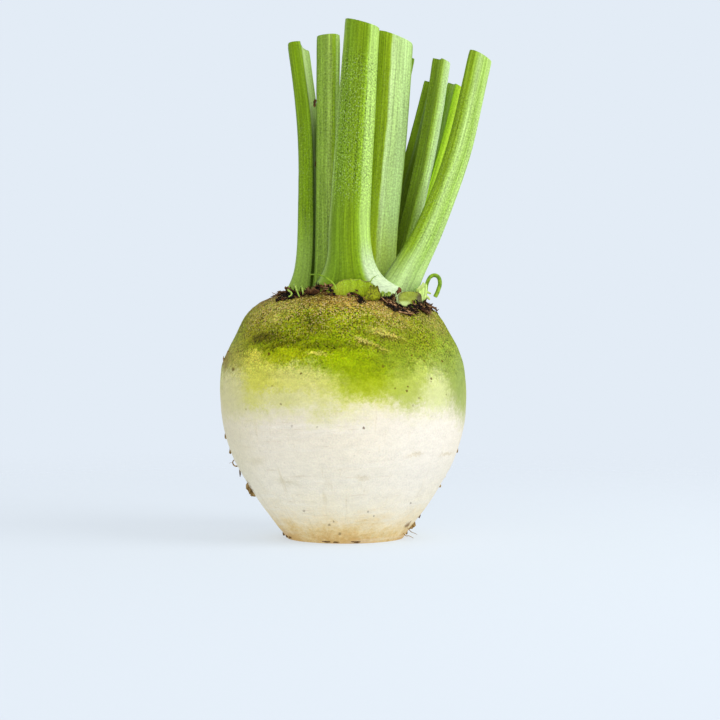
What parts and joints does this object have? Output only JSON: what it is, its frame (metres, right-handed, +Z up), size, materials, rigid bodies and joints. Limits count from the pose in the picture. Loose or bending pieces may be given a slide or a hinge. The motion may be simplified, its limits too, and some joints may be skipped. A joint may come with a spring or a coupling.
{
  "type": "white beetroot",
  "caption": "Swollen white root with a green shoulder, cut flat at the bottom, with its ribbed green leaf stalks cut short above the crown.",
  "frame": {"origin": "centre of the flat cut at the bottom, which the root stands on", "axes": "+Z up from the cut through the crown to the leaf stalks, -Y to the front where the widest stalk grows, +X to the right, where the curved stalk leans out"},
  "size_m": [0.1043, 0.0922, 0.1981],
  "materials": {
    "root_skin": "cream root skin with a green shoulder, matte with a faint moist sheen",
    "leaf_stalk": "fresh green, ribbed along its length, slightly waxy",
    "leaf_stub": "pale yellow-green cut leaf tissue, slightly waxy",
    "dry_scale": "dry brown leaf remains, rough and matte"
  },
  "bodies": {
    "root": {"swollen_root": "root_skin", "stalk_front": "leaf_stalk", "stalk_right": "leaf_stalk", "stalk_left": "leaf_stalk", "stalk_left_inner": "leaf_stalk", "stalk_right_inner": "leaf_stalk", "stalk_left_back": "leaf_stalk", "stalk_right_back": "leaf_stalk", "stalk_back_right": "leaf_stalk", "stalk_far_right": "leaf_stalk", "stalk_back": "leaf_stalk", "curled_leaf_stalk": "leaf_stalk", "stub_front": "leaf_stub", "stub_right": "leaf_stub", "stub_pale": "leaf_stub", "stub_left_back": "leaf_stub", "stub_back": "leaf_stub", "dry_scale_left": "dry_scale", "dry_scale_left_front": "dry_scale", "dry_scale_front_left": "dry_scale", "dry_scale_front_right": "dry_scale", "dry_scale_right_front": "dry_scale", "dry_scale_right": "dry_scale", "dry_scale_right_back": "dry_scale", "dry_scale_back_right": "dry_scale", "dry_scale_back": "dry_scale", "dry_scale_left_back": "dry_scale"}
  },
  "joints": []
}
